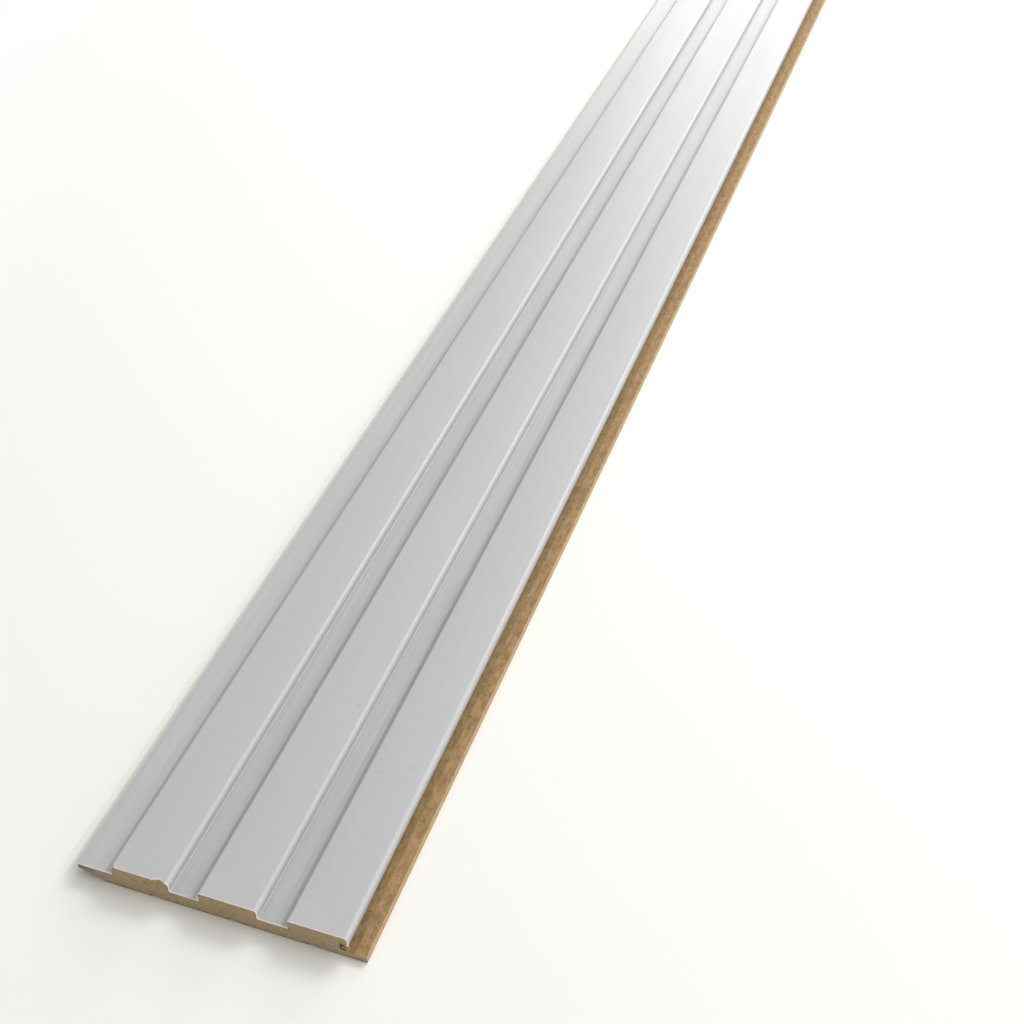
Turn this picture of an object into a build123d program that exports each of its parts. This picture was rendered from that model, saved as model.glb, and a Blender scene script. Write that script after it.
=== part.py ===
from build123d import *
import os

# Sizes in millimetres. X runs from the lip to the tongue, Y along the board, Z up to the face.
length = 2700.0  # as sold, cut square at both ends
thickness = 12.0  # back face to the tops of the bars

# Face: raised bars with channels between them
bar_count = 3
bar_width = 27.4
channel_width = 13.3
channel_depth = 5.0
lip_side_ease = 1.2  # small radius on a bar's edge towards the lip
tongue_side_round = 2.2  # fuller radius on a bar's edge towards the tongue
foot_radius = 0.8  # at the foot of a bar's wall, tongue side

# Edge joint: the lip of one panel lies on the tongue of the next, its tip under the last bar
tongue_thickness = 3.0
tongue_bevel = 0.6
lip_seat_gap = 0.1  # tongue to the lip that lies on it
hook_gap = 0.3  # lip to the bar's edge above it
hook_undercut = 0.5  # rise of the slot's roof towards its inner wall
slot_depth = 3.8  # how far the slot runs in under the last bar
tip_gap = 0.4  # lip's tip to the slot's inner wall
tip_slant = 0.3  # the tip leans back below its upper edge
tip_taper_run = 4.4  # long bevel under the tip
tip_taper_rise = 0.9
tongue_gap = 0.4  # tongue's edge to the next panel's body
root_width = 4.5  # solid stock between the lip's root and the first bar

# Back: shallow relief channels
relief_count = 3
relief_width = 4.1
relief_depth = 1.4
relief_spacing = 36.3

# Places that follow from the sizes, with X counted from the step below the lip
bar_pitch = bar_width + channel_width
cover_width = bar_count * bar_pitch
floor_height = thickness - channel_depth
lip_height = tongue_thickness + lip_seat_gap
hook_height = floor_height + hook_gap
face_edge = root_width + cover_width - channel_width
slot_wall = face_edge - slot_depth
lip_tip = slot_wall + tip_gap - cover_width
tongue_edge = cover_width - tongue_gap
back_middle = tongue_edge / 2

# The slot's floor rises from the tongue to the inner wall, alongside the bevel under the next lip's tip
ramp_run = tip_gap + tip_slant + tip_taper_run
ramp_rise = ramp_run * tip_taper_rise / tip_taper_run

# The section stands on the plane across the board, with the middle of the whole width at X = 0
across = Plane(origin=(-(lip_tip + tongue_edge) / 2, 0, 0), x_dir=(1, 0, 0), z_dir=(0, -1, 0))

with BuildPart() as wall_panel:
    with BuildSketch(across) as section:
        # Board below the channel floors
        with BuildLine():
            Polyline(
                (0, 0),
                (tongue_edge, 0),
                (tongue_edge, tongue_thickness - tongue_bevel),
                (tongue_edge - tongue_bevel, tongue_thickness),
                (slot_wall + ramp_run, tongue_thickness),
                (slot_wall, tongue_thickness + ramp_rise),
                (slot_wall, floor_height),
                (0, floor_height),
                close=True,
            )
        make_face()

        # Lip
        with BuildLine():
            Polyline(
                (0, lip_height),
                (0, floor_height),
                (lip_tip, floor_height),
                (lip_tip + tip_slant, lip_height + tip_taper_rise),
                (lip_tip + tip_slant + tip_taper_run, lip_height),
                close=True,
            )
        make_face()

        # Bars, the last of which carries on over the hook slot
        for number in range(bar_count):
            near_wall = root_width + number * bar_pitch
            far_wall = near_wall + bar_width
            is_last = number == bar_count - 1
            with BuildLine():
                Line((near_wall, floor_height), (near_wall, thickness - lip_side_ease))
                RadiusArc(
                    (near_wall, thickness - lip_side_ease),
                    (near_wall + lip_side_ease, thickness),
                    lip_side_ease,
                )
                Line((near_wall + lip_side_ease, thickness), (far_wall - tongue_side_round, thickness))
                RadiusArc(
                    (far_wall - tongue_side_round, thickness),
                    (far_wall, thickness - tongue_side_round),
                    tongue_side_round,
                )
                if is_last:
                    Polyline(
                        (far_wall, thickness - tongue_side_round),
                        (far_wall, hook_height),
                        (slot_wall, hook_height + hook_undercut),
                        (slot_wall, floor_height),
                        (near_wall, floor_height),
                    )
                else:
                    Line((far_wall, thickness - tongue_side_round), (far_wall, floor_height + foot_radius))
                    RadiusArc(
                        (far_wall, floor_height + foot_radius),
                        (far_wall + foot_radius, floor_height),
                        -foot_radius,
                    )
                    Line((far_wall + foot_radius, floor_height), (near_wall, floor_height))
            make_face()

        # Relief channels in the back
        with Locations((back_middle, relief_depth / 2)):
            with GridLocations(relief_spacing, 0, relief_count, 1):
                Rectangle(relief_width, relief_depth, mode=Mode.SUBTRACT)
    extrude(amount=length / 2, both=True)

wall_panel.part.label = "wall_panel"

os.makedirs("parts", exist_ok=True)
export_step(wall_panel.part, "parts/wall_panel.step")
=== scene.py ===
import math
import random
import bmesh
import bpy
from mathutils import Matrix, Vector
from mathutils.bvhtree import BVHTree


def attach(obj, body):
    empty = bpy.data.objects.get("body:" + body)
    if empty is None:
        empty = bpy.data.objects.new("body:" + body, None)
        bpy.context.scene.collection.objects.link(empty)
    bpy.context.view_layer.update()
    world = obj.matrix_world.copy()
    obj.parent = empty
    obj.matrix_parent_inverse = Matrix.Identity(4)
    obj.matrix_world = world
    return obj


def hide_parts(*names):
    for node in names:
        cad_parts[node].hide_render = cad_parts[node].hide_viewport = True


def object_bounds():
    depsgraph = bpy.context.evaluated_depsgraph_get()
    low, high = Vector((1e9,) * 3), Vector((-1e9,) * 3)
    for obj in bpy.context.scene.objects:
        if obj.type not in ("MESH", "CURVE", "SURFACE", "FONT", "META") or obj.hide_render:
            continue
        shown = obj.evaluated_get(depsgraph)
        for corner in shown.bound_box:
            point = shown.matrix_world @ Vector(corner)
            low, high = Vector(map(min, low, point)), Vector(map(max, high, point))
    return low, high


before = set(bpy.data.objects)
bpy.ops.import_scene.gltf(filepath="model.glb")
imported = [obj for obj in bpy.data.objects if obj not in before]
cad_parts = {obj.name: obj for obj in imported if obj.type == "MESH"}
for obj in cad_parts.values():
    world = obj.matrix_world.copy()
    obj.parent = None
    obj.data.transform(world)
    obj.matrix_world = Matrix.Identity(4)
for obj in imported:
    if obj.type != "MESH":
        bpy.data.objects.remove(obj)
cadLow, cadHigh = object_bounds()
print("frame loaded, board is", [round(side, 4) for side in cadHigh - cadLow])


# Small helpers for working in edit mode

hair = 1e-6  # places nearer than this count as one


def selectOnly(piece):
    bpy.ops.object.select_all(action="DESELECT")
    piece.select_set(True)
    bpy.context.view_layer.objects.active = piece


def openEdit(piece):
    selectOnly(piece)
    bpy.ops.object.mode_set(mode="EDIT")
    bpy.ops.mesh.select_all(action="DESELECT")


def closeEdit():
    bpy.ops.object.mode_set(mode="OBJECT")


def pickVerts(test):
    bpy.ops.mesh.select_mode(type="VERT")
    bpy.ops.mesh.select_all(action="DESELECT")
    shape = bmesh.from_edit_mesh(bpy.context.edit_object.data)
    for vert in shape.verts:
        if test(vert.co):
            vert.select_set(True)
    shape.select_flush_mode()
    bmesh.update_edit_mesh(bpy.context.edit_object.data)


def pickFaces(test):
    bpy.ops.mesh.select_mode(type="FACE")
    bpy.ops.mesh.select_all(action="DESELECT")
    shape = bmesh.from_edit_mesh(bpy.context.edit_object.data)
    for face in shape.faces:
        if test(face.calc_center_median(), face.normal):
            face.select_set(True)
    bmesh.update_edit_mesh(bpy.context.edit_object.data)


def duplicateAs(piece, name):
    selectOnly(piece)
    bpy.ops.object.duplicate()
    bpy.context.object.name = name
    bpy.context.object.data.name = name
    return bpy.context.object


def cutAcross(places, direction):
    for place in places:
        bpy.ops.mesh.select_all(action="SELECT")
        bpy.ops.mesh.bisect(plane_co=place, plane_no=direction, threshold=1e-7)


# The board's section, drawn as a moulding profile and copied for each piece

section = {
    "barCount": 3,
    "barWidth": 0.0274,
    "channelWidth": 0.0133,
    "channelDepth": 0.005,
    "barEase": 0.0012,  # radius towards the lip
    "barRound": 0.0022,  # radius towards the tongue
    "footRound": 0.0008,
    "easeSteps": 5,  # straight steps in each radius
    "roundSteps": 8,
    "footSteps": 4,
    "lipReach": 0.0122,  # tip to the step under the lip
    "lipRise": 0.0031,
    "tipSlant": 0.0003,
    "tipTaperRun": 0.0044,
    "tipTaperRise": 0.0009,
    "rootWidth": 0.0045,
    "tongueTop": 0.003,
    "tongueBevel": 0.0006,
    "slotDepth": 0.0038,
    "hookGap": 0.0003,
    "hookUndercut": 0.0005,
    "rampRun": 0.0051,
    "rampRise": 0.00104,
    "reliefCount": 3,
    "reliefWidth": 0.0041,
    "reliefDepth": 0.0014,
    "reliefSpacing": 0.0363,
}

stepX = cadLow.x + section["lipReach"]
boardTop = cadHigh.z
floorZ = boardTop - section["channelDepth"]
barPitch = section["barWidth"] + section["channelWidth"]
barStarts = [stepX + section["rootWidth"] + n * barPitch for n in range(section["barCount"])]
barEnds = [start + section["barWidth"] for start in barStarts]
slotX = barEnds[-1] - section["slotDepth"]
hookZ = floorZ + section["hookGap"]
reliefMiddle = (stepX + cadHigh.x) / 2
reliefPlaces = [n - (section["reliefCount"] - 1) / 2 for n in range(section["reliefCount"])]
reliefMiddles = [reliefMiddle + place * section["reliefSpacing"] for place in reliefPlaces]


def sectionCorners():
    corners = [(stepX, 0)]
    for middle in reliefMiddles:
        left, right = middle - section["reliefWidth"] / 2, middle + section["reliefWidth"] / 2
        corners += [(left, 0), (left, section["reliefDepth"]), (right, section["reliefDepth"]), (right, 0)]
    corners += [
        (cadHigh.x, 0),
        (cadHigh.x, section["tongueTop"] - section["tongueBevel"]),
        (cadHigh.x - section["tongueBevel"], section["tongueTop"]),
        (slotX + section["rampRun"], section["tongueTop"]),
        (slotX, section["tongueTop"] + section["rampRise"]),
        (slotX, hookZ + section["hookUndercut"]),
        (barEnds[-1], hookZ),
        (barEnds[-1], boardTop),
        (barStarts[-1], boardTop),
        (barStarts[-1], floorZ),
    ]
    for start, end in reversed(list(zip(barStarts[:-1], barEnds[:-1]))):
        corners += [(end, floorZ), (end, boardTop), (start, boardTop), (start, floorZ)]
    corners += [
        (cadLow.x, floorZ),
        (cadLow.x + section["tipSlant"], section["lipRise"] + section["tipTaperRise"]),
        (cadLow.x + section["tipSlant"] + section["tipTaperRun"], section["lipRise"]),
        (stepX, section["lipRise"]),
    ]
    return corners


def roundCorners(places, radius, steps):
    pickVerts(lambda co: any(abs(co.x - x) < hair and abs(co.z - z) < hair for x, z in places))
    bpy.ops.mesh.bevel(offset=radius, segments=steps, affect="VERTICES")


def drawSection():
    corners = sectionCorners()
    bpy.ops.mesh.primitive_plane_add(size=0.001)
    outline = bpy.context.object
    openEdit(outline)
    bpy.ops.mesh.select_all(action="SELECT")
    bpy.ops.mesh.merge(type="CENTER")  # one vertex to draw with
    first = Vector((corners[0][0], 0, corners[0][1]))
    bpy.ops.transform.translate(value=first)
    for before, after in zip(corners, corners[1:]):
        step = (after[0] - before[0], 0, after[1] - before[1])
        bpy.ops.mesh.extrude_vertices_move(TRANSFORM_OT_translate={"value": step})
    bpy.ops.mesh.select_all(action="SELECT")
    bpy.ops.mesh.edge_face_add()
    roundCorners([(end, boardTop) for end in barEnds], section["barRound"], section["roundSteps"])
    roundCorners([(start, boardTop) for start in barStarts], section["barEase"], section["easeSteps"])
    roundCorners([(end, floorZ) for end in barEnds[:-1]], section["footRound"], section["footSteps"])
    closeEdit()
    return outline


outline = drawSection()
outline.name = "section_outline"
print("section drawn with", len(outline.data.vertices), "corners")


def makeLength(name, startY, endY):
    piece = duplicateAs(outline, name)
    openEdit(piece)
    bpy.ops.mesh.select_all(action="SELECT")
    bpy.ops.transform.translate(value=(0, startY, 0))
    bpy.ops.mesh.extrude_region_move(TRANSFORM_OT_translate={"value": (0, endY - startY, 0)})
    bpy.ops.mesh.select_all(action="SELECT")
    bpy.ops.mesh.normals_make_consistent(inside=False)
    closeEdit()
    return piece


# Node helpers for the finishes

def feed(tree, socket, value):
    if isinstance(value, bpy.types.NodeSocket):
        tree.links.new(value, socket)
    else:
        socket.default_value = value


def mathNode(tree, operation, first, second=0.0):
    node = tree.nodes.new("ShaderNodeMath")
    node.operation = operation
    feed(tree, node.inputs[0], first)
    feed(tree, node.inputs[1], second)
    return node.outputs["Value"]


def rangeNode(tree, value, low, high, toLow=0.0, toHigh=1.0):
    node = tree.nodes.new("ShaderNodeMapRange")
    node.interpolation_type = "SMOOTHSTEP"
    feed(tree, node.inputs["Value"], value)
    for socket, number in (("From Min", low), ("From Max", high), ("To Min", toLow), ("To Max", toHigh)):
        feed(tree, node.inputs[socket], number)
    return node.outputs["Result"]


def noiseNode(tree, vector, scale, detail=2.0, roughness=0.5):
    node = tree.nodes.new("ShaderNodeTexNoise")
    feed(tree, node.inputs["Vector"], vector)
    feed(tree, node.inputs["Scale"], scale)
    feed(tree, node.inputs["Detail"], detail)
    feed(tree, node.inputs["Roughness"], roughness)
    return node.outputs["Fac"]


def stretched(tree, vector, scale, turn=0.0):
    node = tree.nodes.new("ShaderNodeMapping")
    feed(tree, node.inputs["Vector"], vector)
    node.inputs["Rotation"].default_value = (0, 0, turn)
    node.inputs["Scale"].default_value = scale
    return node.outputs["Vector"]


def blendColour(tree, share, first, second, way="MIX"):
    node = tree.nodes.new("ShaderNodeMix")
    node.data_type = "RGBA"
    node.blend_type = way
    feed(tree, node.inputs["Factor"], share)
    feed(tree, node.inputs["A"], first)
    feed(tree, node.inputs["B"], second)
    return node.outputs["Result"]


def axesOf(tree, vector):
    parts = tree.nodes.new("ShaderNodeSeparateXYZ")
    feed(tree, parts.inputs["Vector"], vector)
    return parts.outputs


def bumpNode(tree, height, distance, strength):
    node = tree.nodes.new("ShaderNodeBump")
    node.inputs["Strength"].default_value = strength
    node.inputs["Distance"].default_value = distance
    feed(tree, node.inputs["Height"], height)
    return node.outputs["Normal"]


def newGroup(name, inputs, outputs):
    group = bpy.data.node_groups.new(name, "ShaderNodeTree")
    for socket, kind in inputs:
        group.interface.new_socket(socket, in_out="INPUT", socket_type="NodeSocket" + kind)
    for socket, kind in outputs:
        group.interface.new_socket(socket, in_out="OUTPUT", socket_type="NodeSocket" + kind)
    return group, group.nodes.new("NodeGroupInput").outputs, group.nodes.new("NodeGroupOutput").inputs


def placeGroup(tree, group, values):
    node = tree.nodes.new("ShaderNodeGroup")
    node.node_tree = group
    for socket, value in values.items():
        feed(tree, node.inputs[socket], value)
    return node.outputs


# Effects that several finishes share

fineGrain = {
    "speckEdge": (0.3, 0.12),  # shares of a cell where a speck fades out and where it is whole
    "streakDetail": 3.0,
    "streakRough": 0.6,
    "streakContrast": (0.3, 0.7),
}


def makeSpecks():
    group, given, out = newGroup(
        "fineSpecks", [("Vector", "Vector"), ("Per Metre", "Float"), ("Share", "Float")], [("Mask", "Float")])
    cells = group.nodes.new("ShaderNodeTexVoronoi")
    feed(group, cells.inputs["Vector"], given["Vector"])
    feed(group, cells.inputs["Scale"], given["Per Metre"])
    spot = rangeNode(group, cells.outputs["Distance"], *fineGrain["speckEdge"])
    pick = group.nodes.new("ShaderNodeSeparateColor")
    feed(group, pick.inputs["Color"], cells.outputs["Color"])
    chosen = mathNode(group, "LESS_THAN", pick.outputs["Red"], given["Share"])
    feed(group, out["Mask"], mathNode(group, "MULTIPLY", spot, chosen))
    return group


def makeStreaks():
    group, given, out = newGroup(
        "lengthStreaks", [("Vector", "Vector"), ("Width", "Float"), ("Run", "Float")], [("Mask", "Float")])
    axes = axesOf(group, given["Vector"])
    drawn = group.nodes.new("ShaderNodeCombineXYZ")
    for axis, size in (("X", "Width"), ("Y", "Run"), ("Z", "Width")):
        feed(group, drawn.inputs[axis], mathNode(group, "DIVIDE", axes[axis], given[size]))
    grain = noiseNode(
        group, drawn.outputs["Vector"], 1.0, fineGrain["streakDetail"], fineGrain["streakRough"])
    feed(group, out["Mask"], rangeNode(group, grain, *fineGrain["streakContrast"]))
    return group


fibreGrain = {
    "mottleScale": (480, 180, 480),  # patches to a metre
    "mottleDetail": 5.0,
    "mottleRough": 0.72,
    "mottleContrast": (0.33, 0.67),
    "alongScale": (2600, 520, 2600),  # threads that lie along the board
    "aslantScale": (2300, 480, 1500),  # threads that lie aslant
    "aslantTurn": 1.1,  # radians
    "threadDetail": 2.0,
    "threadContrast": (0.6, 0.74),
    "threadRise": 0.35,
    "flecksPerMetre": 620.0,
    "fleckTone": (0.09, 0.055, 0.03, 1),
    "fleckCover": 0.7,
    "fleckSink": 0.6,
    "heightSpan": (0.2, 0.9),  # heights between which the roughness changes
    "bumpStrength": 0.7,
}


def makeFibre():
    group, given, out = newGroup(
        "boardFibre",
        [("Vector", "Vector"), ("Light Tone", "Color"), ("Dark Tone", "Color"), ("Thread Tone", "Color"),
         ("Threads", "Float"), ("Fleck Share", "Float")],
        [("Colour", "Color"), ("Height", "Float")])
    vector = given["Vector"]
    mottleSpace = stretched(group, vector, fibreGrain["mottleScale"])
    mottle = noiseNode(group, mottleSpace, 1.0, fibreGrain["mottleDetail"], fibreGrain["mottleRough"])
    alongSpace = stretched(group, vector, fibreGrain["alongScale"])
    along = noiseNode(group, alongSpace, 1.0, fibreGrain["threadDetail"])
    aslantSpace = stretched(group, vector, fibreGrain["aslantScale"], fibreGrain["aslantTurn"])
    aslant = noiseNode(group, aslantSpace, 1.0, fibreGrain["threadDetail"])
    threads = rangeNode(group, mathNode(group, "MAXIMUM", along, aslant), *fibreGrain["threadContrast"])
    flecks = placeGroup(group, fineSpecks, {
        "Vector": vector, "Per Metre": fibreGrain["flecksPerMetre"], "Share": given["Fleck Share"]})["Mask"]
    patches = rangeNode(group, mottle, *fibreGrain["mottleContrast"])
    mottled = blendColour(group, patches, given["Dark Tone"], given["Light Tone"])
    threadShare = mathNode(group, "MULTIPLY", threads, given["Threads"])
    threaded = blendColour(group, threadShare, mottled, given["Thread Tone"])
    fleckShare = mathNode(group, "MULTIPLY", flecks, fibreGrain["fleckCover"])
    feed(group, out["Colour"], blendColour(group, fleckShare, threaded, fibreGrain["fleckTone"]))
    raised = mathNode(group, "ADD", mottle, mathNode(group, "MULTIPLY", threads, fibreGrain["threadRise"]))
    sunk = mathNode(group, "MULTIPLY", flecks, fibreGrain["fleckSink"])
    feed(group, out["Height"], mathNode(group, "SUBTRACT", raised, sunk))
    return group


fineSpecks = makeSpecks()
lengthStreaks = makeStreaks()
boardFibre = makeFibre()


def newFinish(name):
    mat = bpy.data.materials.new(name)
    mat.use_nodes = True
    tree = mat.node_tree
    place = tree.nodes.new("ShaderNodeTexCoord").outputs["Object"]
    return mat, tree, place, tree.nodes["Principled BSDF"].inputs


def centred(tree, mask):
    return mathNode(tree, "SUBTRACT", mask, 0.5)


def streaksOn(tree, place, width, run):
    return placeGroup(tree, lengthStreaks, {"Vector": place, "Width": width, "Run": run})["Mask"]


def fibreOn(tree, place, sizes):
    return placeGroup(tree, boardFibre, {
        "Vector": place, "Light Tone": sizes["lightTone"], "Dark Tone": sizes["darkTone"],
        "Thread Tone": sizes["threadTone"], "Threads": sizes["threads"], "Fleck Share": sizes["fleckShare"]})


def fuzzySkin(tree, shader, height, sizes):
    # fibres that stand up scatter the light more
    feed(tree, shader["Roughness"], rangeNode(tree, height, *fibreGrain["heightSpan"], *sizes["roughness"]))
    shader["Specular IOR Level"].default_value = sizes["gloss"]
    feed(tree, shader["Normal"], bumpNode(tree, height, sizes["bump"], fibreGrain["bumpStrength"]))


# Satin grey coating on the bars, channels and lip

coating = {
    "darkTone": (0.375, 0.385, 0.38, 1),
    "lightTone": (0.605, 0.61, 0.605, 1),
    "streakWidth": 0.0011,
    "streakRun": 0.07,
    "broadWidth": 0.006,
    "broadRun": 0.5,
    "nibsPerMetre": 160.0,
    "nibShare": 0.02,
    "cloudScale": 14,
    "cloudDetail": 3.0,
    "floorSkin": 0.0003,  # how far above a channel's floor its streaks still show
    "creaseStart": (0.0004, 0.0008),  # past a bar's wall, where the dark line begins and is whole
    "creaseEnd": (0.0014, 0.001),
    "lipEdge": (0.0022, 0.0016),  # from the lip's tip
    "middleTone": 0.5,
    "toneBy": {  # how much each effect lightens the coating
        "streaks": 0.16,
        "clouds": 0.1,
        "broad": 0.04,
        # painted shade in the channels
        "channelShade": -0.2,
        "creaseShade": -0.3,
        # painted shade in the crease at each wall's foot
        "lipEdge": -0.1,
        "nibs": -0.16,
    },
    "roughness": (0.3, 0.41),
    "gloss": 0.36,
    "peelScale": 620,
    "peel": 0.00004,  # depth of the faint orange peel
    "peelStrength": 0.6,
}


def makeCoating():
    mat, tree, place, shader = newFinish("painted_face")
    axes = axesOf(tree, place)
    streaks = streaksOn(tree, place, coating["streakWidth"], coating["streakRun"])
    onFloor = mathNode(tree, "LESS_THAN", axes["Z"], floorZ + coating["floorSkin"])
    floorStreaks = mathNode(tree, "MULTIPLY", centred(tree, streaks), onFloor)
    clouds = noiseNode(tree, place, coating["cloudScale"], coating["cloudDetail"])
    broad = streaksOn(tree, place, coating["broadWidth"], coating["broadRun"])
    belowTops = mathNode(tree, "LESS_THAN", axes["Z"], boardTop - section["barRound"])
    pastLip = mathNode(tree, "GREATER_THAN", axes["X"], barStarts[0])
    # painted shade: a darker line of the coating's colour along the crease at the foot of each wall
    pastWall = mathNode(tree, "FLOORED_MODULO", mathNode(tree, "SUBTRACT", axes["X"], barEnds[0]), barPitch)
    creaseShade = mathNode(tree, "MULTIPLY", rangeNode(tree, pastWall, *coating["creaseStart"]),
                      rangeNode(tree, pastWall, *coating["creaseEnd"]))
    effects = {
        "streaks": floorStreaks,
        "clouds": centred(tree, clouds),
        "broad": centred(tree, broad),
        # painted shade: the channels' floors and walls, below the bars' tops, are darkened
        "channelShade": mathNode(tree, "MULTIPLY", belowTops, pastLip),
        "creaseShade": mathNode(tree, "MULTIPLY", creaseShade, mathNode(tree, "GREATER_THAN", axes["X"], barEnds[0])),
        "lipEdge": rangeNode(tree, axes["X"], *[cadLow.x + edge for edge in coating["lipEdge"]]),
        "nibs": placeGroup(tree, fineSpecks, {
            "Vector": place, "Per Metre": coating["nibsPerMetre"], "Share": coating["nibShare"]})["Mask"],
    }
    tone = coating["middleTone"]
    for effect, mask in effects.items():
        tone = mathNode(tree, "ADD", tone, mathNode(tree, "MULTIPLY", mask, coating["toneBy"][effect]))
    feed(tree, shader["Base Color"], blendColour(tree, tone, coating["darkTone"], coating["lightTone"]))
    feed(tree, shader["Roughness"], rangeNode(tree, streaks, 0, 1, *coating["roughness"]))
    shader["Specular IOR Level"].default_value = coating["gloss"]
    peel = mathNode(tree, "ADD", noiseNode(tree, place, coating["peelScale"]), floorStreaks)
    feed(tree, shader["Normal"], bumpNode(tree, peel, coating["peel"], coating["peelStrength"]))
    return mat


# Bare fibreboard left by the cutter: tongue, slot, reliefs and the underside of the lip

milled = {
    "lightTone": (0.425, 0.27, 0.127, 1),
    "darkTone": (0.25, 0.152, 0.067, 1),
    "threadTone": (0.52, 0.37, 0.2, 1),
    "threads": 0.55,
    "fleckShare": 0.15,
    "slotShade": (0.79, 0.81, 0.77, 1),  # painted shade beside the last bar's wall, over the slot's ramp
    "slotShadeEdge": (0.0019, 0.0012),  # beyond the slot's ramp
    "slotShadeBack": 0.0001,  # behind the slot's inner wall
    "wander": 0.0008,  # how unevenly that edge runs
    "wanderScale": 120,
    "bevelFibreAndHighlight": (0.66, 0.5, 0.31, 1),  # on the tongue's bevel and outer side: paler cut fibre, and a painted highlight where they face the side lamps
    "bevelHighlightCover": 0.35,
    "rippleStep": 0.0013,  # marks that the turning cutter left
    "rippleRise": 0.06,
    "roughness": (0.72, 0.9),
    "gloss": 0.25,
    "bump": 0.00018,
}


def makeMilled():
    mat, tree, place, shader = newFinish("milled_board")
    axes = axesOf(tree, place)
    fibre = fibreOn(tree, place, milled)
    rampEnd = slotX + section["rampRun"]
    wander = mathNode(tree, "MULTIPLY", noiseNode(tree, place, milled["wanderScale"]), milled["wander"])
    reach = mathNode(tree, "ADD", axes["X"], wander)
    nearSlot = rangeNode(tree, reach, *[rampEnd + edge for edge in milled["slotShadeEdge"]])
    pastWall = mathNode(tree, "GREATER_THAN", axes["X"], slotX - milled["slotShadeBack"])
    # painted shade: the tongue is darkened next to the slot, where the last bar shades it
    inSlot = mathNode(tree, "MULTIPLY", nearSlot, pastWall)
    slotShaded = blendColour(tree, inSlot, fibre["Colour"], milled["slotShade"], "MULTIPLY")
    # partly painted highlight: the bevel and the tongue's outer side are made paler
    onBevel = mathNode(tree, "GREATER_THAN", axes["X"], cadHigh.x - section["tongueBevel"])
    fibreAndHighlight = mathNode(tree, "MULTIPLY", onBevel, milled["bevelHighlightCover"])
    feed(tree, shader["Base Color"], blendColour(tree, fibreAndHighlight, slotShaded, milled["bevelFibreAndHighlight"]))
    turns = mathNode(tree, "MULTIPLY", axes["Y"], 2 * math.pi / milled["rippleStep"])
    ripple = mathNode(tree, "MULTIPLY", mathNode(tree, "SINE", turns), milled["rippleRise"])
    fuzzySkin(tree, shader, mathNode(tree, "ADD", fibre["Height"], ripple), milled)
    return mat


# Back, sanded flat at the mill

sanded = {
    "lightTone": (0.44, 0.3, 0.16, 1),
    "darkTone": (0.33, 0.215, 0.108, 1),
    "threadTone": (0.53, 0.39, 0.23, 1),
    "threads": 0.3,
    "fleckShare": 0.04,
    "scratch": (0.78, 0.77, 0.76, 1),
    "scratchWidth": 0.0004,
    "scratchRun": 0.03,
    "scratchCover": 0.35,
    "scratchRise": 0.5,
    "passWidth": 0.012,  # broad bands that the sanding belt left
    "passRun": 0.9,
    "passCover": 0.4,
    "roughness": (0.62, 0.8),
    "gloss": 0.3,
    "bump": 0.00006,
}


def makeSanded():
    mat, tree, place, shader = newFinish("sanded_back")
    fibre = fibreOn(tree, place, sanded)
    scratches = streaksOn(tree, place, sanded["scratchWidth"], sanded["scratchRun"])
    passes = streaksOn(tree, place, sanded["passWidth"], sanded["passRun"])
    colour = fibre["Colour"]
    for marks, cover in ((scratches, sanded["scratchCover"]), (passes, sanded["passCover"])):
        share = mathNode(tree, "MULTIPLY", marks, cover)
        colour = blendColour(tree, share, colour, sanded["scratch"], "MULTIPLY")
    feed(tree, shader["Base Color"], colour)
    feed(tree, shader["Roughness"], rangeNode(tree, scratches, 0, 1, *sanded["roughness"]))
    shader["Specular IOR Level"].default_value = sanded["gloss"]
    scored = mathNode(tree, "MULTIPLY", scratches, sanded["scratchRise"])
    height = mathNode(tree, "ADD", fibre["Height"], scored)
    feed(tree, shader["Normal"], bumpNode(tree, height, sanded["bump"], fibreGrain["bumpStrength"]))
    return mat


# Sawn ends: paler and fuzzier, with a scorched line under the coating

sawn = {
    "lightTone": (0.526, 0.395, 0.238, 1),
    "darkTone": (0.383, 0.282, 0.163, 1),
    "threadTone": (0.606, 0.482, 0.329, 1),
    "threads": 0.45,
    "fleckShare": 0.05,
    "scorch": (0.62, 0.58, 0.52, 1),
    "denseAndContactShade": (0.66, 0.64, 0.62, 1),  # darker by the back: partly the denser board there, partly a painted contact shadow along the bottom edge
    "denseShadeEdge": (0.0009, 0.0002),  # heights where that fades out and where it is whole
    "lipTipTone": (0.62, 0.65, 0.76, 1),  # the lip's end is darker and bluer towards its tip
    "lipTipReach": 0.004,
    "roughness": (0.82, 0.96),
    "gloss": 0.15,
    "bump": 0.00025,
}


def makeSawn():
    mat, tree, place, shader = newFinish("sawn_end")
    axes = axesOf(tree, place)
    fibre = fibreOn(tree, place, sawn)
    rim = tree.nodes.new("ShaderNodeAttribute")
    rim.attribute_name = "rim"
    scorched = blendColour(tree, rim.outputs["Fac"], fibre["Colour"], sawn["scorch"], "MULTIPLY")
    # partly painted contact shadow: the sawn end darkens towards its bottom edge
    byBack = rangeNode(tree, axes["Z"], *sawn["denseShadeEdge"])
    darker = blendColour(tree, byBack, scorched, sawn["denseAndContactShade"], "MULTIPLY")
    byLip = rangeNode(tree, axes["X"], stepX + sawn["lipTipReach"], cadLow.x)
    feed(tree, shader["Base Color"], blendColour(tree, byLip, darker, sawn["lipTipTone"], "MULTIPLY"))
    fuzzySkin(tree, shader, fibre["Height"], sawn)
    return mat


# Edge of the coating film where the saw went through it

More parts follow.
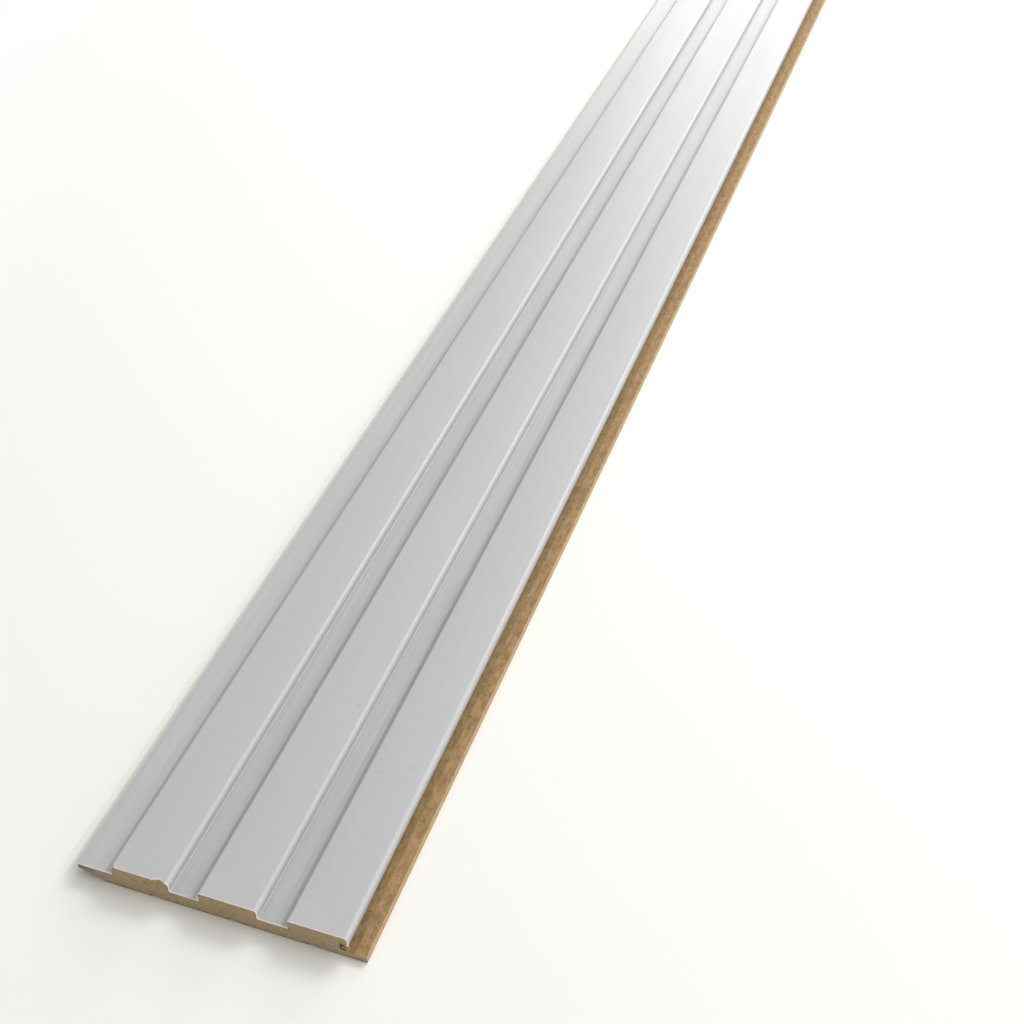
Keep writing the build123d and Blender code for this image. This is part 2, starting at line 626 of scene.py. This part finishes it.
film = {
    "lightTone": (0.98, 0.93, 0.88, 1),
    "darkTone": (0.84, 0.77, 0.7, 1),
    "nickScale": 900,
    "nickDetail": 3.0,
    "nickRough": 0.6,
    "toneSpan": (0.3, 0.6),
    "roughSpan": (0.2, 0.8),
    "roughness": (0.7, 0.55),
    "bump": 0.00008,
    "bumpStrength": 0.6,
}


def makeFilm():
    mat, tree, place, shader = newFinish("coating_edge")
    nicks = noiseNode(tree, place, film["nickScale"], film["nickDetail"], film["nickRough"])
    lighter = rangeNode(tree, nicks, *film["toneSpan"])
    feed(tree, shader["Base Color"], blendColour(tree, lighter, film["darkTone"], film["lightTone"]))
    feed(tree, shader["Roughness"], rangeNode(tree, nicks, *film["roughSpan"], *film["roughness"]))
    feed(tree, shader["Normal"], bumpNode(tree, nicks, film["bump"], film["bumpStrength"]))
    return mat


finishes = [makeCoating(), makeMilled(), makeSanded(), makeSawn(), makeFilm()]
coated, bare, back, cut, filmEdge = range(len(finishes))
print("finishes ready:", ", ".join(mat.name for mat in finishes))


def sideFinish(middle, normal):
    if abs(normal.y) > 0.9:
        return cut
    onTop = middle.z > floorZ - hair and middle.x < barEnds[-1] + hair
    onTip = middle.x < stepX and middle.z > section["lipRise"] + section["tipTaperRise"]
    underBar = middle.x > slotX - hair and middle.z < hookZ + section["hookUndercut"]
    facesUp = normal.z > 0.2
    if (onTop or onTip) and (facesUp or not underBar):
        return coated
    return back if middle.z < hair else bare


def addFinishes(piece):
    for mat in finishes:
        piece.data.materials.append(mat)
    for face in piece.data.polygons:
        face.material_index = sideFinish(face.center, face.normal)


def handOver(piece):
    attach(piece, "root")
    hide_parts("wall_panel")


# Sawn ends, each a short length of the same section with a finely cut face

endCut = {
    "length": 0.012,
    "filmWidth": 0.00042,  # coating film, cut at a slant
    "filmSlant": 0.0006,
    "gridStep": 0.0005,
    "rows": (0.0005, 0.0011, 0.0019, 0.003, 0.0045, 0.0065, 0.009),  # cuts behind the face
    "fuzzSize": 0.0011,
    "fuzzDepth": 0.00016,
    "kerfSize": (0.0007, 0.001, 0.014),  # saw marks: spacing, and length up the face
    "kerfDepth": 0.00006,
    "kerfLean": 9,  # degrees
    "rimWidth": 0.0008,  # of the scorched line under the coating
    "arris": 0.0001,
}
smoothAngle = 32  # degrees, up to which the board's edges are shaded smooth


def stepsBetween(low, high, step):
    count = int((high - low) / step)
    return [low + (n + 0.5) * (high - low) / count for n in range(count)]


def facesOut(normal, inward):
    return normal.y * inward < -0.9


def insetFilm(faceY, inward):
    # a ring round the face, then the coated edge set back so that the ring slants there
    pickFaces(lambda middle, normal: facesOut(normal, inward))
    bpy.ops.mesh.inset(thickness=endCut["filmWidth"], use_even_offset=True)
    shape = bmesh.from_edit_mesh(bpy.context.edit_object.data)
    ring = [face for face in shape.faces if facesOut(face.normal, inward) and not face.select]
    skin = [face for face in shape.faces if face.material_index == coated]
    for face in ring:
        if any(other in skin for edge in face.edges for other in edge.link_faces):
            face.material_index = filmEdge
    edges = [vert for vert in shape.verts
             if abs(vert.co.y - faceY) < hair and any(face in skin for face in vert.link_faces)]
    bpy.ops.mesh.select_all(action="DESELECT")
    bpy.ops.mesh.select_mode(type="VERT")
    for vert in edges:
        vert.select_set(True)
    bmesh.update_edit_mesh(bpy.context.edit_object.data)
    bpy.ops.transform.translate(value=(0, inward * endCut["filmSlant"], 0))


def markRim(piece, faceY):
    # how near each point of the face is to the coated skin, for the scorched line
    mesh = piece.data
    skin = [list(face.vertices) for face in mesh.polygons if face.material_index == coated]
    skinTree = BVHTree.FromPolygons([vert.co for vert in mesh.vertices], skin)
    onFace = [vert.index for vert in mesh.vertices if abs(vert.co.y - faceY) < hair]
    shares = {}
    for index in onFace:
        distance = skinTree.find_nearest(mesh.vertices[index].co)[3]
        shares[index] = max(0.0, 1 - (distance - endCut["filmWidth"]) / endCut["rimWidth"])
    piece.vertex_groups.new(name="inner_face").add(onFace, 1.0, "REPLACE")
    rim = mesh.attributes.new("rim", "FLOAT", "POINT")
    for index, share in shares.items():
        rim.data[index].value = share


def roughen(piece, name, size, depth, turn=0.0):
    grain = bpy.data.textures.new(name, "CLOUDS")
    grain.noise_scale = 1.0
    guide = bpy.data.objects.new(name, None)
    guide.scale = size
    guide.rotation_euler = (0, math.radians(turn), 0)
    bpy.context.scene.collection.objects.link(guide)
    bpy.context.view_layer.update()
    push = piece.modifiers.new(name, "DISPLACE")
    push.texture = grain
    push.texture_coords = "OBJECT"
    push.texture_coords_object = guide
    push.direction = "Y"
    push.mid_level = 0
    push.strength = depth
    push.vertex_group = "inner_face"
    selectOnly(piece)
    bpy.ops.object.modifier_apply(modifier=name)
    bpy.data.objects.remove(guide)


def makeEnd(name, faceY, inward):
    piece = makeLength(name, faceY, faceY + inward * endCut["length"])
    addFinishes(piece)
    openEdit(piece)
    insetFilm(faceY, inward)
    cutAcross([(x, 0, 0) for x in stepsBetween(cadLow.x, cadHigh.x, endCut["gridStep"])], (1, 0, 0))
    cutAcross([(0, 0, z) for z in stepsBetween(0, boardTop, endCut["gridStep"])], (0, 0, 1))
    cutAcross([(0, faceY + inward * row, 0) for row in endCut["rows"]], (0, 1, 0))
    # the saw rounds off the bottom edge a little
    pickVerts(lambda co: abs(co.y - faceY) < hair and co.z < hair)
    bpy.ops.transform.translate(value=(0, inward * endCut["arris"], 0))
    closeEdit()
    markRim(piece, faceY)
    fuzz = endCut["fuzzSize"]
    roughen(piece, name + "_fuzz", (fuzz, fuzz, fuzz), inward * endCut["fuzzDepth"])
    roughen(piece, name + "_kerf", endCut["kerfSize"], inward * endCut["kerfDepth"], endCut["kerfLean"])
    print(name, len(piece.data.polygons), "faces")
    return piece


nearEnd = makeEnd("sawn_end_near", cadLow.y, 1)
farEnd = makeEnd("sawn_end_far", cadHigh.y, -1)

# Damage at the near end: a chipped shoulder on the first bar, a nick beside it and a torn corner.
# What lies within reach of a place is moved, and the dent fades out over its spread.

damage = {
    "chip": {
        "place": (barEnds[0] - 0.0048, cadLow.y, boardTop),
        "reach": 0.0009,
        "move": (0, 0.0011, -0.0001),
        "spread": 0.0026,
        "drawOut": 0.4,
    },
    "nick": {
        "place": (barEnds[0] - 0.0061, cadLow.y + 0.0004, boardTop),
        "reach": 0.0004,
        "move": (0, 0.0002, -0.0005),
        "spread": 0.0007,
        "drawOut": 1,
    },
    "corner": {
        "place": (barStarts[0] + 0.0004, cadLow.y, boardTop - 0.0006),
        "reach": 0.0006,
        "move": (0.0003, 0.0009, -0.0003),
        "spread": 0.0009,
        "drawOut": 1,
    },
}


def damageEdge(piece, sizes):
    # the piece is squeezed or drawn out along Y meanwhile, which sets how far back the dent reaches
    openEdit(piece)
    middle = Vector(sizes["place"])
    bpy.ops.mesh.select_all(action="SELECT")
    bpy.ops.transform.resize(value=(1, sizes["drawOut"], 1), center_override=middle)
    pickVerts(lambda co: (co - middle).length < sizes["reach"])
    moveX, moveY, moveZ = sizes["move"]
    bpy.ops.transform.translate(
        value=(moveX, moveY * sizes["drawOut"], moveZ),
        use_proportional_edit=True, use_proportional_connected=True,
        proportional_edit_falloff="SMOOTH", proportional_size=sizes["spread"])
    bpy.ops.mesh.select_all(action="SELECT")
    bpy.ops.transform.resize(value=(1, 1 / sizes["drawOut"], 1), center_override=middle)
    closeEdit()


for sizes in damage.values():
    damageEdge(nearEnd, sizes)

panelBody = makeLength("panel_body", cadLow.y + endCut["length"], cadHigh.y - endCut["length"])
addFinishes(panelBody)
bpy.data.objects.remove(outline)
print("body", len(panelBody.data.polygons), "faces")

for piece in (panelBody, nearEnd, farEnd):
    selectOnly(piece)
    bpy.ops.object.shade_smooth_by_angle(angle=math.radians(smoothAngle))
    handOver(piece)


# Burrs and flakes that the saw left in the corners of both ends

burrs = {
    "size": 0.0006,
    "flat": (1.2, 0.9, 0.42),
    "ragged": 0.0005,
    "raggedScale": 0.0006,
    "scales": (0.5, 1.0),
    "depth": 0.0013,  # how far back from the face they lie
    "depthShares": (0.5, 1.0),
    "lift": 0.2,  # share of a spot's spread
    "smoothAngle": 50,
    "seedNear": 4,
    "seedFar": 9,
    "spots": [  # x, z, how many, spread, finish
        (barStarts[1] - 0.002, floorZ + 0.0004, 14, 0.0017, filmEdge),
        (barStarts[1] - 0.0024, floorZ + 0.0003, 4, 0.0012, coated),
        (barEnds[-1] - 0.0014, hookZ - 0.0006, 7, 0.0012, filmEdge),
        (barEnds[-1] - 0.0016, hookZ - 0.0018, 16, 0.0016, cut),
        (slotX + 0.0017, section["tongueTop"] + 0.0014, 9, 0.0009, cut),
    ],
}


def makeFlake():
    bpy.ops.mesh.primitive_ico_sphere_add(subdivisions=3, radius=burrs["size"], location=(0, 0, 0))
    flake = bpy.context.object
    openEdit(flake)
    bpy.ops.mesh.select_all(action="SELECT")
    bpy.ops.transform.resize(value=burrs["flat"])
    closeEdit()
    torn = bpy.data.textures.new("torn", "CLOUDS")
    torn.noise_scale = burrs["raggedScale"]
    push = flake.modifiers.new("torn", "DISPLACE")
    push.texture = torn
    push.texture_coords = "LOCAL"
    push.strength = burrs["ragged"]
    selectOnly(flake)
    bpy.ops.object.modifier_apply(modifier="torn")
    return flake


def scatterBurrs(name, faceY, inward, seed):
    dice = random.Random(seed)
    flake = makeFlake()
    for mat in finishes:
        flake.data.materials.append(mat)
    pieces = []
    for x, z, count, spread, finish in burrs["spots"]:
        for n in range(count):
            copy = duplicateAs(flake, name)
            for face in copy.data.polygons:
                face.material_index = finish
            angle = dice.uniform(0, 2 * math.pi)
            turned = Matrix.Rotation(angle, 4, Vector([dice.gauss(0, 1) for axis in range(3)]))
            sized = Matrix.Scale(dice.uniform(*burrs["scales"]), 4)
            aside = dice.uniform(-spread, spread)
            behind = inward * dice.uniform(*burrs["depthShares"]) * burrs["depth"]
            raised = dice.uniform(-burrs["lift"], burrs["lift"]) * spread
            spot = Vector((x + aside, faceY + behind, z + raised))
            copy.data.transform(Matrix.Translation(spot) @ turned @ sized)
            pieces.append(copy)
    bpy.data.objects.remove(flake)
    bpy.ops.object.select_all(action="DESELECT")
    for copy in pieces:
        copy.select_set(True)
    bpy.context.view_layer.objects.active = pieces[0]
    bpy.ops.object.join()
    joined = bpy.context.object
    joined.name = name
    bpy.ops.object.shade_smooth_by_angle(angle=math.radians(burrs["smoothAngle"]))
    handOver(joined)
    print(name, len(joined.data.polygons), "faces")


scatterBurrs("saw_burrs_near", cadLow.y, 1, burrs["seedNear"])
scatterBurrs("saw_burrs_far", cadHigh.y, -1, burrs["seedFar"])


# Stage: floor, lamps and camera

ground = {
    "size": 30,
    "below": 0.0001,  # under the board's back
    "marginX": 0.002,  # from the body's sides to the opening under it
    "marginY": 0.005,  # from the body's ends to the opening
    "seen": (0.93, 0.93, 0.885, 1),  # as it shows near the board, with the board's shadow
    "even": (1.0, 1.0, 0.985, 1),  # as it shows farther off
    "evenFrom": (0.36, 0.6),  # distances from the board's middle, the length counted as a quarter
    "lengthShare": 0.25,
    "bounce": (0.85, 0.85, 0.84, 1),  # what it throws back on the board
}


def anySight(tree):
    # rays that show the background, straight or in a reflection
    rays = tree.nodes.new("ShaderNodeLightPath").outputs
    straight = mathNode(tree, "MAXIMUM", rays["Is Camera Ray"], rays["Is Transmission Ray"])
    return mathNode(tree, "MAXIMUM", straight, rays["Is Glossy Ray"])


def drawFloor():
    # the opening under the board is drawn first, so that its back can be looked at from below
    left, right = stepX + ground["marginX"], cadHigh.x - ground["marginX"]
    span = (right - left, cadHigh.y - cadLow.y - 2 * ground["marginY"])
    middle = Vector(((left + right) / 2, 0, -ground["below"]))
    bpy.ops.mesh.primitive_plane_add(size=1, location=(0, 0, 0))
    floor = bpy.context.object
    floor.name = "floor"
    openEdit(floor)
    bpy.ops.mesh.select_all(action="SELECT")
    bpy.ops.transform.resize(value=(span[0], span[1], 1))
    bpy.ops.transform.translate(value=middle)
    bpy.ops.mesh.select_mode(type="EDGE")
    bpy.ops.mesh.extrude_edges_move(TRANSFORM_OT_translate={"value": (0, 0, 0)})
    wider = [ground["size"] / side for side in span]
    bpy.ops.transform.resize(value=(wider[0], wider[1], 1), center_override=middle)
    pickFaces(lambda centre, normal: (centre - middle).length < ground["marginX"])
    bpy.ops.mesh.delete(type="ONLY_FACE")
    bpy.ops.mesh.select_all(action="SELECT")
    bpy.ops.mesh.normals_make_consistent(inside=True)
    closeEdit()
    return floor


def makeFloor():
    floor = drawFloor()
    mat = bpy.data.materials.new("floor_white")
    mat.use_nodes = True
    tree = mat.node_tree
    tree.nodes.clear()
    out = tree.nodes.new("ShaderNodeOutputMaterial")
    seen = tree.nodes.new("ShaderNodeBsdfDiffuse")
    seen.inputs["Color"].default_value = ground["seen"]
    # away from the board the floor shows as an even white, whatever side it is seen from
    distance = tree.nodes.new("ShaderNodeVectorMath")
    distance.operation = "LENGTH"
    place = tree.nodes.new("ShaderNodeTexCoord").outputs["Object"]
    feed(tree, distance.inputs[0], stretched(tree, place, (1, ground["lengthShare"], 1)))
    even = tree.nodes.new("ShaderNodeEmission")
    even.inputs["Color"].default_value = ground["even"]
    shown = tree.nodes.new("ShaderNodeMixShader")
    feed(tree, shown.inputs["Fac"], rangeNode(tree, distance.outputs["Value"], *ground["evenFrom"]))
    feed(tree, shown.inputs[1], seen.outputs["BSDF"])
    feed(tree, shown.inputs[2], even.outputs["Emission"])
    bounce = tree.nodes.new("ShaderNodeBsdfDiffuse")
    bounce.inputs["Color"].default_value = ground["bounce"]
    mix = tree.nodes.new("ShaderNodeMixShader")
    feed(tree, mix.inputs["Fac"], anySight(tree))
    feed(tree, mix.inputs[1], bounce.outputs["BSDF"])
    feed(tree, mix.inputs[2], shown.outputs["Shader"])
    # seen from below the floor is clear
    oneSided = tree.nodes.new("ShaderNodeMixShader")
    feed(tree, oneSided.inputs["Fac"], tree.nodes.new("ShaderNodeNewGeometry").outputs["Backfacing"])
    feed(tree, oneSided.inputs[1], mix.outputs["Shader"])
    feed(tree, oneSided.inputs[2], tree.nodes.new("ShaderNodeBsdfTransparent").outputs["BSDF"])
    feed(tree, out.inputs["Surface"], oneSided.outputs["Shader"])
    floor.data.materials.append(mat)


makeFloor()

studio = {
    "ambient": 0.46,  # light from all round
    "seen": 1.0,  # the background as it shows, straight or in a reflection
}


def makeWorld():
    world = bpy.data.worlds.new("studio")
    bpy.context.scene.world = world
    world.use_nodes = True
    tree = world.node_tree
    background = tree.nodes["Background"]
    background.inputs["Color"].default_value = (1, 1, 1, 1)
    strength = tree.nodes.new("ShaderNodeMapRange")
    feed(tree, strength.inputs["Value"], anySight(tree))
    strength.inputs["To Min"].default_value = studio["ambient"]
    strength.inputs["To Max"].default_value = studio["seen"]
    feed(tree, background.inputs["Strength"], strength.outputs["Result"])


makeWorld()

# Two long strips beside the board throw the narrow shadows in its channels. The window is low, beyond its
# far end.
lamps = {
    "lowStrip": {"place": (1.76, 1.6, 1.48), "aim": (0, 1.6, 0), "size": (6.4, 0.1), "watts": 20},
    "highStrip": {"place": (1.32, 1.6, 1.75), "aim": (0, 1.6, 0), "size": (6.4, 0.08), "watts": 36},
    "sideFill": {"place": (2.0, -0.6, 0.5), "aim": (0, -0.9, 0), "size": (2.4, 0.8), "watts": 6},
    "backlight": {"place": (0.75, 1.5, 2.3), "aim": (0, -1.0, 0), "size": (1.8, 1.2), "watts": 46},
    "window": {"place": (0.15, 3.2, 1.1), "aim": (0, -1.0, 0), "size": (2.6, 1.2), "watts": 54},
}


def addLamp(name, sizes):
    direction = Vector(sizes["aim"]) - Vector(sizes["place"])
    lamp = bpy.data.lights.new(name, "AREA")
    lamp.shape = "RECTANGLE"
    lamp.size, lamp.size_y = sizes["size"]
    lamp.energy = sizes["watts"]
    holder = bpy.data.objects.new(name, lamp)
    holder.location = sizes["place"]
    holder.rotation_euler = direction.to_track_quat("-Z", "Y").to_euler()
    bpy.context.scene.collection.objects.link(holder)


for name, sizes in lamps.items():
    addLamp(name, sizes)

camera = {
    "place": (0.23497, -1.70612, 0.57549),
    "pitch": 40.24,  # degrees below the horizon
    "yaw": -17.47,
    "roll": -1.86,
    "focalPixels": 1628.94,
    "picturePixels": 1024,
    "sensor": 36.0,
}


def addCamera(sizes):
    lens = bpy.data.cameras.new("camera")
    lens.sensor_width = sizes["sensor"]
    lens.lens = sizes["focalPixels"] * sizes["sensor"] / sizes["picturePixels"]
    holder = bpy.data.objects.new("camera", lens)
    pitch, yaw, roll = (math.radians(sizes[turn]) for turn in ("pitch", "yaw", "roll"))
    tilted = Matrix.Rotation(math.pi / 2 - pitch, 4, "X") @ Matrix.Rotation(-roll, 4, "Z")
    holder.matrix_world = Matrix.Translation(sizes["place"]) @ Matrix.Rotation(-yaw, 4, "Z") @ tilted
    bpy.context.scene.collection.objects.link(holder)
    bpy.context.scene.camera = holder


addCamera(camera)
bpy.context.scene.view_settings.view_transform = "Standard"
print("stage ready with", len(lamps), "lamps")
